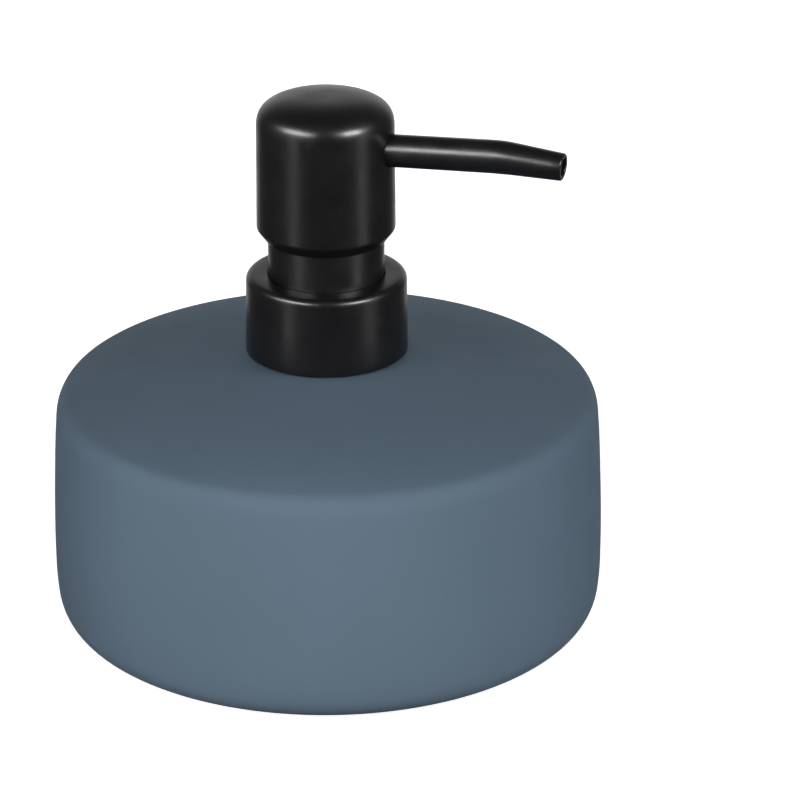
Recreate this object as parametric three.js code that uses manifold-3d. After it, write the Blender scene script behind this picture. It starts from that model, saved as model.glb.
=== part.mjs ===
// Lotion pump dispenser: a squat ceramic bottle, a push-in threaded neck and a screw-on pump.
// Millimetres, +Z up. Origin: centre of the bottle's underside. The spout points along +X.
import * as THREE from 'three';
import { mergeVertices } from 'three/addons/utils/BufferGeometryUtils.js';
import Module from 'manifold-3d';

const wasm = await Module();
wasm.setup();

// Driving dimensions. A radius is an outside radius unless its name says bore.
const FIT = 0.05; // gap between faces that rest on each other
const SLIP = 0.1; // radial gap of a pressed or snapped fit
const BOTTLE_R = 59;
const BOTTLE_Z = 59.85; // rim of the mouth, hidden by the collar
const BOTTLE_WALL = 4.6;
const BASE_THICKNESS = 6;
const FOOT_R = 50;
const FOOT_WIDTH = 7;
const FOOT_RECESS = 1.2;
const MOUTH_BORE = 14.2;
const COLLAR_R = 17;
const COLLAR_FOOT_R = 17.2;
const COLLAR_Z = [60.1, 77.1];
const COLLAR_EDGE = 1.5;
const COLLAR_WALL = 1.2;
const SLEEVE_R = 12.25;
const SLEEVE_BORE = 11.2;
const HEAD_FOOT_R = 14.6;
const HEAD_R = 14.42;
const HEAD_BORE = 12.65;
const HEAD_Z = [85.2, 109.4, 116.2]; // lower rim, where the dome starts, crown
const HEAD_BEVEL = 2.4;
const DOME_POWER = 3; // 2 makes the dome an ellipse, more squares up its edge
const DOME_WALL = 2;
const SPOUT_Z = 105.8; // height of the spout's axis where it leaves the head
const SPOUT_REACH = 51.6; // tip's distance from the pump's axis
const SPOUT_BEND_X = 38.5;
const SPOUT_RISE = THREE.MathUtils.degToRad(3.1);
const SPOUT_DROP = THREE.MathUtils.degToRad(3.2);
const SPOUT_R = [3.42, 3.47, 2.85]; // root, bend, tip
const SPOUT_BORE = 1.9;
const STROKE = 7.5;
const THREAD_PITCH = 25.4 / 6;
const THREAD_CREST_R = 13.75;
const THREAD_ROOT_R = 12.7;
const THREAD_WIDTH = [0.9, 1.6]; // crest, root
const NECK_BORE = 11.2;
const CYLINDER_BORE = 6.3;
const CYLINDER_R = 7.4;
const STEM_R = 3.5;
const STEM_BORE = 1.5;
const BALL_R = 2;
const BALL_LIFT = 1.5;
const SEAT_SLOPE = 0.7; // radius gained per millimetre of height on a ball's conical seat
const WIRE_R = 0.45;
const SPRING_R = 4.95; // middle of the wire
const SPRING_TURNS = 8;
const TUBE_R = 3;
const TUBE_BORE = 2;

// Levels that follow from the driving dimensions, from the collar's top plate down.
const CAP_R = COLLAR_R - COLLAR_WALL - 0.25;
const SLEEVE_FLANGE_Z = [COLLAR_Z[1] - 1.8, COLLAR_Z[1] - 1.05];
const CAP_Z = [COLLAR_Z[0] + 1.2, SLEEVE_FLANGE_Z[0] - FIT];
const FLANGE_Z = [CAP_Z[1] - 2.25, CAP_Z[1] - 1.2];
const GASKET_Z = [FLANGE_Z[0] - 1, FLANGE_Z[0] - FIT];
const NECK_TOP_Z = GASKET_Z[0] - FIT;
const CHAPLET_Z = [FLANGE_Z[1] - 6.05, FLANGE_Z[1] + FIT, CAP_Z[1] - FIT, 79.6];
const WIPER_Z = [CHAPLET_Z[0] + 0.6, CHAPLET_Z[0] + 2.6];
const STEM_COLLAR_Z = [CHAPLET_Z[0] - 1.35, CHAPLET_Z[0] - 0.3];
const PISTON_Z = [STEM_COLLAR_Z[0] - 6.4, STEM_COLLAR_Z[0] - FIT];
const CORE_DISC_Z = [PISTON_Z[0] - 1.85, PISTON_Z[0] - FIT];
const CAGE_TOP_Z = CORE_DISC_Z[0] - 16.9;
const CYLINDER_FLOOR_Z = CAGE_TOP_Z - 2.1;
const INLET_SEAT_Z = CYLINDER_FLOOR_Z - 4.1;
const STEM_TOP_Z = 98.4;
const OUTLET_SEAT_Z = STEM_TOP_Z - 6;
const TUBE_Z = [BASE_THICKNESS + 0.9, INLET_SEAT_Z - 1.3];

const INLET_R = 1.3; // narrow end of the inlet ball's seat
const CHAMBER_BORE = 2.55;
const SPIGOT_R = 2.55;
const SPIGOT_LENGTH = 3.8;
const BOSS_R = 5.8;
const BOSS_Z = CHAPLET_Z[3] + STROKE + 0.8;
const PLATE_Z = [HEAD_Z[1] - 1.3, HEAD_Z[1] - 0.05];
const BRANCH_R = 4.3;
const BRANCH_LENGTH = 11.7;
const SPOUT_ROOT_Z = SPOUT_Z - 13 * Math.tan(SPOUT_RISE); // axis height where it meets the pump's axis
const SLEEVE_TOP_Z = SPOUT_ROOT_Z - BRANCH_R - STROKE - 0.8;
const SPOUT_START = 8.6;
const BEND_LENGTH = 5;
const TUBE_SLANT = THREE.MathUtils.degToRad(30);

const WIDE = 48; // facets round the bottle
const MEDIUM = 40; // round the collar and head
const SMALL = 24; // round the inner pieces

const BLUE_GREY = 0x586b7d;
const BLACK = 0x1a1a1b;
const NATURAL = 0xe6e6df;
const CLEAR_GREY = 0xcfd2cf;
const STEEL = 0xb8bbbd;

function point(radius, height) {
  return new THREE.Vector2(radius, height);
}

// A solid of revolution round Z. The outline runs up the outside and down the inside.
function turned(outline, segments = SMALL) {
  const meetsAxis = outline[0][0] === 0 && outline.at(-1)[0] === 0;
  const loop = meetsAxis ? outline : [...outline, outline[0]];
  const geometry = new THREE.LatheGeometry(loop.map(([r, z]) => point(r, z)), segments);
  return geometry.rotateX(Math.PI / 2);
}

// Outline points of a quarter circle that turns from upright to level round a centre.
function arc(r, z, radius, steps) {
  return Array.from({ length: steps + 1 }, (_, i) => {
    const angle = (Math.PI / 2) * (i / steps);
    return [r + radius * Math.cos(angle), z + radius * Math.sin(angle)];
  });
}

// Outline of a flattened dome, from its rim up to the axis.
function dome(rimR, rimZ, height, steps) {
  return Array.from({ length: steps + 1 }, (_, i) => {
    const angle = (Math.PI / 2) * (i / steps);
    return [
      rimR * Math.cos(angle) ** (2 / DOME_POWER),
      rimZ + height * Math.sin(angle) ** (2 / DOME_POWER),
    ];
  });
}

function smoothed(points, steps) {
  const curve = new THREE.CatmullRomCurve3(points.map(([r, z]) => new THREE.Vector3(r, z, 0)));
  return curve.getSpacedPoints(steps).map((p) => [p.x, p.y]);
}

function solid(geometry) {
  const loose = geometry.index ? geometry.toNonIndexed() : geometry;
  const bare = new THREE.BufferGeometry().setAttribute('position', loose.getAttribute('position'));
  const merged = mergeVertices(bare, 1e-3);
  return new wasm.Manifold(new wasm.Mesh({
    numProp: 3,
    vertProperties: merged.attributes.position.array,
    triVerts: new Uint32Array(merged.index.array),
  }));
}

function geometryOf(manifold) {
  const { numProp, vertProperties, triVerts } = manifold.getMesh();
  const geometry = new THREE.BufferGeometry();
  const corners = new THREE.InterleavedBuffer(vertProperties, numProp);
  geometry.setAttribute('position', new THREE.InterleavedBufferAttribute(corners, 3, 0));
  geometry.setIndex([...triVerts]);
  return geometry;
}

function rod(radius, length, segments = SMALL) {
  return new THREE.CylinderGeometry(radius, radius, length, segments).rotateX(Math.PI / 2);
}

// A bar bent into a screw thread: trapezium section, `turns` long, its middle starting at z.
function threadRidge(innerR, outerR, z, startTurn, turns) {
  const steps = Math.round(turns * MEDIUM);
  const along = Math.sign(innerR - outerR); // keeps the bent bar right side out
  const middleTurn = startTurn + (turns + 1 / MEDIUM) / 2; // half a facet on, clear of the body's corners
  const bar = new THREE.BoxGeometry(turns, 1, 1, steps, 1, 1);
  const corners = bar.getAttribute('position');
  for (let i = 0; i < corners.count; i += 1) {
    const turn = middleTurn + along * corners.getX(i);
    const outer = corners.getY(i) > 0;
    const atCrest = outer === outerR > innerR;
    const halfWidth = THREAD_WIDTH[atCrest ? 0 : 1] / 2;
    const radius = outer ? outerR : innerR;
    const angle = 2 * Math.PI * turn;
    const height = z + THREAD_PITCH * turn + Math.sign(corners.getZ(i)) * halfWidth;
    corners.setXYZ(i, radius * Math.cos(angle), radius * Math.sin(angle), height);
  }
  return bar;
}

// Squat jar: rounded lower corner, nearly upright wall, soft shoulder and a shallow cone to the mouth.
function bottle() {
  const innerFoot = FOOT_R - FOOT_WIDTH;
  const corner = smoothed([
    [FOOT_R, 0], [FOOT_R + 4, 0.45], [BOTTLE_R - 2.3, 1.9], [BOTTLE_R - 0.8, 4.4], [BOTTLE_R - 0.15, 9],
    [BOTTLE_R, 16], [BOTTLE_R - 0.1, 24], [BOTTLE_R - 0.45, 34], [BOTTLE_R - 0.95, 43.5],
    [BOTTLE_R - 1.5, 48], [BOTTLE_R - 2.9, 50.3], [BOTTLE_R - 6.2, 51.7], [BOTTLE_R - 13, 53.6],
  ], 16);
  const innerR = BOTTLE_R - BOTTLE_WALL;
  const ceiling = BOTTLE_Z - 4.8;
  const inside = [
    [MOUTH_BORE, BOTTLE_Z], [MOUTH_BORE, ceiling], [innerR - 4.6, ceiling - 9],
    [innerR - 1, ceiling - 12.6], [innerR, ceiling - 28], [innerR - 0.8, BASE_THICKNESS + 5],
    [innerR - 5, BASE_THICKNESS + 0.8], [innerR - 10, BASE_THICKNESS], [0, BASE_THICKNESS],
  ];
  const foot = [[0, FOOT_RECESS], [innerFoot - 1, FOOT_RECESS], [innerFoot, 0]];
  return turned([...foot, ...corner, [COLLAR_FOOT_R, BOTTLE_Z], ...inside], WIDE);
}

// Plastic neck that plugs the mouth: flange on the rim, male thread above it.
function neckInsert() {
  const flangeR = CAP_R - 0.2;
  const plugR = MOUTH_BORE - 1.3;
  const body = turned([
    [NECK_BORE, BOTTLE_Z - 6.5], [plugR - 0.4, BOTTLE_Z - 6.5], [plugR, BOTTLE_Z - 6],
    [plugR, BOTTLE_Z + FIT], [flangeR, BOTTLE_Z + FIT], [flangeR, BOTTLE_Z + 1.1],
    [THREAD_ROOT_R, BOTTLE_Z + 1.1],
    [THREAD_ROOT_R, NECK_TOP_Z], [NECK_BORE, NECK_TOP_Z],
  ], MEDIUM);
  const ridge = threadRidge(THREAD_ROOT_R - 0.3, THREAD_CREST_R, BOTTLE_Z + 4.4, 0, 1.5);
  return geometryOf(solid(body).add(solid(ridge)));
}

// Silicone sleeve with two ribs that grip the ceramic bore.
function neckSeal() {
  const inner = MOUTH_BORE - 1.3 + FIT;
  const ribR = MOUTH_BORE - FIT;
  const bottom = BOTTLE_Z - 5.8;
  const ribs = [1, 3.6].flatMap((z) => [
    [ribR - 0.5, bottom + z - 0.4], [ribR, bottom + z], [ribR - 0.5, bottom + z + 0.8],
  ]);
  return turned([
    [inner, bottom], [ribR - 0.5, bottom], ...ribs, [ribR - 0.5, BOTTLE_Z - 0.3], [inner, BOTTLE_Z - 0.3],
  ], MEDIUM);
}

// Inner screw closure: plate over the pump's flange, female thread inside the wall.
function threadedCap() {
  const bore = THREAD_CREST_R + 0.35;
  const hole = 9.8;
  const body = turned([
    [bore, CAP_Z[0]], [CAP_R, CAP_Z[0]], [CAP_R, CAP_Z[1]], [hole, CAP_Z[1]],
    [hole, FLANGE_Z[1] + FIT], [bore, FLANGE_Z[1] + FIT],
  ], MEDIUM);
  const thread = threadRidge(bore + 0.3, THREAD_ROOT_R + 0.4, BOTTLE_Z + 4.4 - THREAD_PITCH / 2, 0.35, 1.25);
  return geometryOf(solid(body).add(solid(thread)));
}

// Decorative collar pressed over the cap, with a rounded top edge.
function collarShell() {
  const bore = COLLAR_R - COLLAR_WALL;
  return turned([
    [bore, COLLAR_Z[0]], [COLLAR_FOOT_R, COLLAR_Z[0]],
    ...arc(COLLAR_R - COLLAR_EDGE, COLLAR_Z[1] - COLLAR_EDGE, COLLAR_EDGE, 5),
    [SLEEVE_R + SLIP, COLLAR_Z[1]], [SLEEVE_R + SLIP, COLLAR_Z[1] - 1], [bore, COLLAR_Z[1] - 1],
  ], MEDIUM);
}

// Fixed sleeve that the head slides over, trapped by its flange under the collar.
function guideSleeve() {
  return turned([
    [SLEEVE_BORE, SLEEVE_FLANGE_Z[0]], [CAP_R, SLEEVE_FLANGE_Z[0]], [CAP_R, SLEEVE_FLANGE_Z[1]],
    [SLEEVE_R, SLEEVE_FLANGE_Z[1]], [SLEEVE_R, SLEEVE_TOP_Z - 0.4], [SLEEVE_R - 0.4, SLEEVE_TOP_Z],
    [SLEEVE_BORE, SLEEVE_TOP_Z],
  ], MEDIUM);
}

function gasket() {
  return turned([
    [CYLINDER_R + 0.5, GASKET_Z[0]], [THREAD_ROOT_R, GASKET_Z[0]],
    [THREAD_ROOT_R, GASKET_Z[1]], [CYLINDER_R + 0.5, GASKET_Z[1]],
  ]);
}

// Height of a ball seat's cone from its narrow end up to a wider radius.
function seatHeight(narrowR, wideR) {
  return (wideR - narrowR) / SEAT_SLOPE;
}

// Height of a resting ball's centre above the narrow end of its seat.
function ballRest(narrowR) {
  const halfAngle = Math.atan(SEAT_SLOPE);
  const lifted = 0.03;
  return BALL_R / Math.sin(halfAngle) - narrowR / SEAT_SLOPE + lifted;
}

// Pump cylinder: flange on the gasket, smooth bore, ball seat and dip-tube socket below.
function housing() {
  const pocketR = BALL_R + 0.7;
  const seatR = INLET_R;
  const socketR = TUBE_R + 1.3;
  const socketBore = TUBE_R + SLIP;
  const socketTop = TUBE_Z[1] + FIT;
  const body = turned([
    [socketBore, socketTop - 7], [socketR, socketTop - 7], [socketR, INLET_SEAT_Z - 1],
    [CYLINDER_R, CYLINDER_FLOOR_Z - 0.5], [CYLINDER_R, FLANGE_Z[0]], [THREAD_ROOT_R, FLANGE_Z[0]],
    [THREAD_ROOT_R, FLANGE_Z[1]], [CYLINDER_BORE, FLANGE_Z[1]], [CYLINDER_BORE, CYLINDER_FLOOR_Z],
    [pocketR, CYLINDER_FLOOR_Z], [pocketR, INLET_SEAT_Z + seatHeight(seatR, pocketR)],
    [seatR, INLET_SEAT_Z], [seatR, socketTop], [socketBore, socketTop],
  ]);
  const ventZ = (PISTON_Z[0] + PISTON_Z[1]) / 2;
  const ventR = 0.6;
  const vent = rod(ventR, 4, 12).rotateY(Math.PI / 2).translate(CYLINDER_R, 0, ventZ);
  return geometryOf(solid(body).subtract(solid(vent)));
}

// Snapped into the cylinder's mouth; it guides the stem and keeps the piston in.
function chaplet() {
  const [bottom, rim, rimTop, top] = CHAPLET_Z;
  const stemBore = STEM_R + 0.15;
  return turned([
    [STEM_R + 1.65, bottom], [CYLINDER_BORE - SLIP, bottom], [CYLINDER_BORE - SLIP, rim], [9.5, rim],
    [9.5, rimTop], [5.2, rimTop], [5.2, top - 0.4], [4.8, top], [stemBore, top],
    [stemBore, WIPER_Z[1] + 0.4], [STEM_R + 1.65, WIPER_Z[1] + 0.4],
  ]);
}

function stemWiper() {
  return turned([
    [STEM_R + 0.4, WIPER_Z[0]], [STEM_R + 1.55, WIPER_Z[0]], [STEM_R + 1.55, WIPER_Z[1]],
    [STEM_R + 0.2, WIPER_Z[1]],
  ]);
}

// Ported plate over the inlet ball; the return spring stands on it.
function springCage() {
  const floor = CYLINDER_FLOOR_Z + FIT;
  const top = CAGE_TOP_Z - FIT;
  const recess = INLET_SEAT_Z + ballRest(INLET_R) + BALL_R + BALL_LIFT + SLIP;
  const plate = solid(turned([
    [0, recess], [BALL_R + 0.7, recess], [BALL_R + 0.7, floor],
    [CYLINDER_BORE - SLIP, floor], [CYLINDER_BORE - SLIP, top], [0, top],
  ]));
  const portR = 0.75;
  const portOffset = 1.8;
  const port = solid(rod(portR, 4, 12).translate(portOffset, 0, top));
  const ports = [0, 90, 180, 270].map((turn) => port.rotate([0, 0, turn]));
  return geometryOf(ports.reduce((cage, hole) => cage.subtract(hole), plate));
}

function ball(z) {
  return new THREE.SphereGeometry(BALL_R, 16, 10).rotateX(Math.PI / 2).translate(0, 0, z);
}

// Compression spring: a helix with one flat turn at each end.
class SpringPath extends THREE.Curve {
  getPoint(t) {
    const turn = t * SPRING_TURNS;
    const bottom = CAGE_TOP_Z + WIRE_R + FIT;
    const flatRise = 2 * WIRE_R + SLIP;
    const openRise = CORE_DISC_Z[0] - WIRE_R - FIT - bottom - 2 * flatRise;
    const open = THREE.MathUtils.clamp(turn - 1, 0, SPRING_TURNS - 2);
    const flat = turn - open;
    const z = bottom + flatRise * flat + (openRise * open) / (SPRING_TURNS - 2);
    const angle = 2 * Math.PI * turn;
    return new THREE.Vector3(SPRING_R * Math.cos(angle), SPRING_R * Math.sin(angle), z);
  }
}

function returnSpring() {
  const wire = new THREE.Shape();
  wire.absarc(0, 0, WIRE_R, 0, 2 * Math.PI);
  return new THREE.ExtrudeGeometry(wire, {
    curveSegments: 3,
    steps: SPRING_TURNS * 12,
    bevelEnabled: false,
    extrudePath: new SpringPath(),
  });
}

// Soft sleeve on the stem with a wiping lip at each end.
function piston() {
  const bore = STEM_R + SLIP;
  const lipR = CYLINDER_BORE - SLIP;
  const [bottom, top] = PISTON_Z;
  return turned([
    [bore, bottom], [4.8, bottom], [5, bottom + 1.4], [lipR - 0.5, bottom], [lipR, bottom],
    [lipR, bottom + 0.5], [lipR - 0.6, bottom + 1.8], [lipR - 0.6, top - 1.8], [lipR, top - 0.5],
    [lipR, top], [lipR - 0.5, top], [5, top - 1.4], [4.8, top], [bore, top],
  ]);
}

// Stem's foot: plate under the piston, nose inside the spring, spigot up the stem.
function pistonCore() {
  const bore = 1.4;
  const [bottom, top] = CORE_DISC_Z;
  return turned([
    [bore, bottom - 2.4], [3.2, bottom - 2.4], [3.6, bottom - 2], [3.6, bottom],
    [CYLINDER_BORE - 0.4, bottom], [CYLINDER_BORE - 0.4, top], [SPIGOT_R, top],
    [SPIGOT_R, top + SPIGOT_LENGTH], [bore, top + SPIGOT_LENGTH],
  ]);
}

// Hollow stem: collar above the piston, ball seat and ball chamber at the top.
function stem() {
  const foot = PISTON_Z[0];
  const spigotTop = CORE_DISC_Z[1] + SPIGOT_LENGTH + SLIP;
  const chamberZ = OUTLET_SEAT_Z + seatHeight(STEM_BORE, CHAMBER_BORE);
  return turned([
    [SPIGOT_R + SLIP, foot], [STEM_R, foot], [STEM_R, STEM_COLLAR_Z[0]], [4.6, STEM_COLLAR_Z[0]],
    [4.6, STEM_COLLAR_Z[1]], [STEM_R, STEM_COLLAR_Z[1]], [STEM_R, STEM_TOP_Z - 0.4],
    [STEM_R - 0.3, STEM_TOP_Z], [CHAMBER_BORE, STEM_TOP_Z], [CHAMBER_BORE, chamberZ],
    [STEM_BORE, OUTLET_SEAT_Z], [STEM_BORE, spigotTop], [SPIGOT_R + SLIP, spigotTop],
  ]);
}

// Lays a piece that stands on Z along the spout's first stretch, its start at a distance from the axis.
function towardsSpout(geometry, distance) {
  const x = distance * Math.cos(SPOUT_RISE);
  const z = SPOUT_ROOT_Z + distance * Math.sin(SPOUT_RISE);
  return geometry.rotateY(Math.PI / 2 - SPOUT_RISE).translate(x, 0, z);
}

// A cylinder standing on Z between two heights.
function post(radius, bottom, top, segments = SMALL) {
  return rod(radius, top - bottom, segments).translate(0, 0, (bottom + top) / 2);
}

// Inner piece of the head: boss on the stem, channel to the spout, plate and post under the dome.
function actuatorCore() {
  const boss = solid(post(BOSS_R, BOSS_Z, PLATE_Z[1]));
  const branch = solid(towardsSpout(post(BRANCH_R, 0, BRANCH_LENGTH, 24), 0));
  const plate = solid(post(HEAD_BORE - SLIP, PLATE_Z[0], PLATE_Z[1], MEDIUM));
  const crownPost = solid(post(5, PLATE_Z[1] - 1, HEAD_Z[2] - DOME_WALL - 0.4));
  const stemBore = solid(post(STEM_R + SLIP, BOSS_Z - 1, STEM_TOP_Z + FIT));
  const riser = solid(post(CHAMBER_BORE - 0.1, STEM_TOP_Z - 1, SPOUT_ROOT_Z));
  const channel = solid(towardsSpout(post(SPOUT_BORE, 0, BRANCH_LENGTH, 20), 0));
  const socket = solid(towardsSpout(post(SPOUT_R[0] + SLIP, 0, BRANCH_LENGTH, 24), SPOUT_START - FIT));
  const stopBottom = OUTLET_SEAT_Z + ballRest(STEM_BORE) + BALL_R + BALL_LIFT + SLIP;
  const stopLow = new THREE.BoxGeometry(4, 1.2, 3).translate(0, 0, stopBottom + 1.5);
  const stopHigh = new THREE.BoxGeometry(6, 1.2, 1.5).translate(0, 0, STEM_TOP_Z + 1);
  return geometryOf(
    boss.add(branch).add(plate).add(crownPost)
      .subtract(stemBore).subtract(riser).subtract(channel).subtract(socket)
      .add(solid(stopLow)).add(solid(stopHigh)),
  );
}

// Outer button: skirt bevelled at its foot, low dome, a hole for the spout.
function headShell() {
  const [foot, domeZ, crown] = HEAD_Z;
  const shell = solid(turned([
    [HEAD_BORE, foot], [HEAD_BORE + 0.15, foot], [HEAD_FOOT_R, foot + HEAD_BEVEL],
    ...dome(HEAD_R, domeZ, crown - domeZ, 9).slice(0, -1), [0, crown],
    [0, crown - DOME_WALL], ...dome(HEAD_BORE, domeZ, crown - DOME_WALL - domeZ, 4).reverse().slice(1),
  ], MEDIUM));
  const hole = solid(towardsSpout(post(SPOUT_R[0] + 0.15, 0, 12, 24), 8));
  return geometryOf(shell.subtract(hole));
}

// Point and slope of the spout's axis at a distance along it.
function spoutAxis(distance) {
  const bendStart = SPOUT_BEND_X - BEND_LENGTH / 2;
  const bent = THREE.MathUtils.clamp((distance - bendStart) / BEND_LENGTH, 0, 1);
  const slope = SPOUT_RISE - (SPOUT_RISE + SPOUT_DROP) * bent;
  const bendR = BEND_LENGTH / (SPOUT_RISE + SPOUT_DROP);
  const before = Math.min(distance, bendStart);
  const beyond = Math.max(distance - bendStart - BEND_LENGTH, 0);
  const x = before * Math.cos(SPOUT_RISE) + bendR * (Math.sin(SPOUT_RISE) - Math.sin(slope));
  const z = before * Math.sin(SPOUT_RISE) + bendR * (Math.cos(slope) - Math.cos(SPOUT_RISE));
  return { x: x + beyond * Math.cos(slope), z: SPOUT_ROOT_Z + z + beyond * Math.sin(slope), slope };
}

// Tapered tube turned straight along Z, then bent onto its axis.
function spout() {
  const [rootR, bendR, tipR] = SPOUT_R;
  const stations = [SPOUT_START, 22, SPOUT_BEND_X - 3, SPOUT_BEND_X - 1, SPOUT_BEND_X + 1, SPOUT_BEND_X + 3,
    SPOUT_REACH - 4, SPOUT_REACH];
  const radiusAt = (s) => (s < SPOUT_BEND_X
    ? THREE.MathUtils.mapLinear(s, SPOUT_START, SPOUT_BEND_X, rootR, bendR)
    : THREE.MathUtils.mapLinear(s, SPOUT_BEND_X, SPOUT_REACH, bendR, tipR));
  const outside = stations.map((s) => [radiusAt(s), s]);
  const inside = stations.toReversed().map((s) => [SPOUT_BORE, s]);
  const tube = turned([...outside, ...inside], 24);
  const corners = tube.getAttribute('position');
  for (let i = 0; i < corners.count; i += 1) {
    const { x, z, slope } = spoutAxis(corners.getZ(i));
    const across = corners.getX(i);
    corners.setXYZ(i, x + across * Math.sin(slope), corners.getY(i), z - across * Math.cos(slope));
  }
  return tube;
}

// Straight tube from the cylinder's socket to just above the floor, cut at a slant.
function dipTube() {
  const tube = solid(turned([
    [TUBE_BORE, TUBE_Z[0]], [TUBE_R, TUBE_Z[0]], [TUBE_R, TUBE_Z[1]], [TUBE_BORE, TUBE_Z[1]],
  ], 24));
  const size = 8 * TUBE_R;
  const cutZ = TUBE_Z[0] + TUBE_R * Math.tan(TUBE_SLANT) + 0.15; // height of the cut on the tube's axis
  const cutter = new THREE.BoxGeometry(size, size, size / 4)
    .translate(0, 0, -size / 8)
    .rotateY(TUBE_SLANT)
    .translate(0, 0, cutZ);
  return geometryOf(tube.subtract(solid(cutter)));
}

function finish(colour, roughness, metalness = 0) {
  return new THREE.MeshStandardMaterial({ color: colour, roughness, metalness });
}

function piece(name, geometry, material) {
  const mesh = new THREE.Mesh(geometry, material);
  mesh.name = name;
  return mesh;
}

const dispenser = new THREE.Group();
dispenser.add(
  piece('bottle', bottle(), finish(BLUE_GREY, 0.75)),
  piece('neck_insert', neckInsert(), finish(BLACK, 0.5)),
  piece('neck_seal', neckSeal(), finish(CLEAR_GREY, 0.7)),
  piece('threaded_cap', threadedCap(), finish(BLACK, 0.5)),
  piece('collar_shell', collarShell(), finish(BLACK, 0.4)),
  piece('guide_sleeve', guideSleeve(), finish(BLACK, 0.4)),
  piece('gasket', gasket(), finish(CLEAR_GREY, 0.8)),
  piece('housing', housing(), finish(NATURAL, 0.45)),
  piece('chaplet', chaplet(), finish(BLACK, 0.45)),
  piece('stem_wiper', stemWiper(), finish(CLEAR_GREY, 0.7)),
  piece('spring_cage', springCage(), finish(NATURAL, 0.5)),
  piece('inlet_ball', ball(INLET_SEAT_Z + ballRest(INLET_R)), finish(STEEL, 0.2, 1)),
  piece('return_spring', returnSpring(), finish(STEEL, 0.3, 1)),
  piece('piston', piston(), finish(NATURAL, 0.6)),
  piece('piston_core', pistonCore(), finish(NATURAL, 0.5)),
  piece('stem', stem(), finish(NATURAL, 0.45)),
  piece('outlet_ball', ball(OUTLET_SEAT_Z + ballRest(STEM_BORE)), finish(STEEL, 0.2, 1)),
  piece('actuator_core', actuatorCore(), finish(BLACK, 0.5)),
  piece('head_shell', headShell(), finish(BLACK, 0.4)),
  piece('spout', spout(), finish(BLACK, 0.4)),
  piece('dip_tube', dipTube(), finish(CLEAR_GREY, 0.4)),
);

export default dispenser;
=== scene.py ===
import math
import bpy
from mathutils import Matrix, Vector


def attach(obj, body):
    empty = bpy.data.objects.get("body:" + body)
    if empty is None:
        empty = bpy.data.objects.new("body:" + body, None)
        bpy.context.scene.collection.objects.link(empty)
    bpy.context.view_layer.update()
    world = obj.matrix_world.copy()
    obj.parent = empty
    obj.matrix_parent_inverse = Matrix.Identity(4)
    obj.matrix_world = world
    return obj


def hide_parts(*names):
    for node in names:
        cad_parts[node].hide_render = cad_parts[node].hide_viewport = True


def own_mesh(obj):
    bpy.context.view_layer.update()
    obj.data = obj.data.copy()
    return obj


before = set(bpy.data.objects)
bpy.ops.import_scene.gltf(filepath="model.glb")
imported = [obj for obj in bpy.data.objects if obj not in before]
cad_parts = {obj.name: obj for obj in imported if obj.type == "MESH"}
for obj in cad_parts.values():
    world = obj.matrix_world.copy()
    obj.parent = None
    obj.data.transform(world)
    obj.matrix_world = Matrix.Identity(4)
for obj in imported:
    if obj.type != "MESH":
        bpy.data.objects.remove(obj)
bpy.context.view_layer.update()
scene = bpy.context.scene


# ---------------------------------------------------------------------------
# Studio: a long lens looks down on the dispenser from in front, a little to the spout's side.
# Strips and soft boxes stand left and right of the camera, and a pale wall closes the back.
# ---------------------------------------------------------------------------
MM = 0.001
CAMERA_AZIMUTH = math.radians(19.5)
CAMERA_ELEVATION = math.radians(23.4)
CAMERA_DISTANCE = 842.6 * MM
AIM_RIGHT = 15.5 * MM
AIM_DOWN = 1.2 * MM
PUMP_MIDDLE_Z = 48.8 * MM
LENS = 177.4
FLOOR_HALF = 6
WALL_GLOW = 0.8
LOWER_GLOW = 0.09
UPPER_GLOW = 0.11


def away_from_camera(azimuth, elevation):
    """A direction from the dispenser; its azimuth, in degrees, is counted from the camera's."""
    turn = CAMERA_AZIMUTH + math.radians(azimuth)
    rise = math.radians(elevation)
    return Vector((math.sin(turn) * math.cos(rise), -math.cos(turn) * math.cos(rise), math.sin(rise)))


lens_side = away_from_camera(0, math.degrees(CAMERA_ELEVATION))
view_right = away_from_camera(90, 0)
view_up = lens_side.cross(view_right)
camera_data = bpy.data.cameras.new("camera")
camera_data.lens = LENS
camera = bpy.data.objects.new("camera", camera_data)
scene.collection.objects.link(camera)
scene.camera = camera
pump_middle = Vector((0, 0, PUMP_MIDDLE_Z))
aim = pump_middle + AIM_RIGHT * view_right - AIM_DOWN * view_up
camera.location = pump_middle + CAMERA_DISTANCE * lens_side
camera.rotation_euler = (aim - camera.location).to_track_quat("-Z", "Y").to_euler()


def soft_box(name, azimuth, elevation, distance, width, height, power, fills=True, shines=True):
    """A rectangular light aimed at the dispenser, for matt surfaces, for reflections or for both."""
    data = bpy.data.lights.new(name, "AREA")
    data.shape = "RECTANGLE"
    data.size = width
    data.size_y = height
    data.energy = power
    light = bpy.data.objects.new(name, data)
    scene.collection.objects.link(light)
    away = away_from_camera(azimuth, elevation)
    light.location = pump_middle + distance * away
    light.rotation_euler = away.to_track_quat("Z", "Y").to_euler()
    light.visible_diffuse = fills
    light.visible_glossy = shines


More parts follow.
